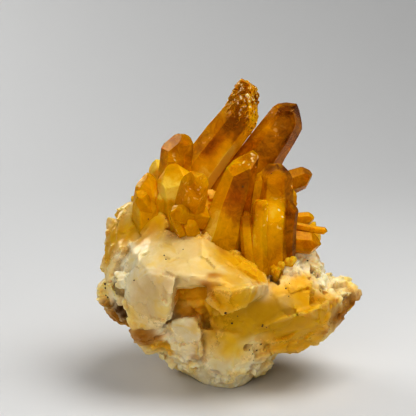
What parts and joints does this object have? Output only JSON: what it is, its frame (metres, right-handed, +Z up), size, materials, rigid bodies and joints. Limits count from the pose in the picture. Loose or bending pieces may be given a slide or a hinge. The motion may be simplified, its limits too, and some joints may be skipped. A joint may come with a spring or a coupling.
{
  "type": "golden quartz crystal cluster",
  "caption": "Natural cluster of pointed golden quartz crystals in a fan, grown together on a milky quartz matrix with a small foot that it stands on, for display.",
  "frame": {"origin": "under the middle of the bounding box, on the plane that the foot rests on", "axes": "+X to the right and +Y to the back, seen from the front where the large points stand out; +Z up, along the longest extent"},
  "size_m": [0.0914, 0.0816, 0.105],
  "materials": {
    "golden_quartz": "glassy natural faces, clear amber with an iron coat",
    "milky_quartz": "waxy broken faces, milky with golden and rust stains"
  },
  "bodies": {
    "root": {"quartz_cluster": "golden_quartz"}
  },
  "joints": []
}
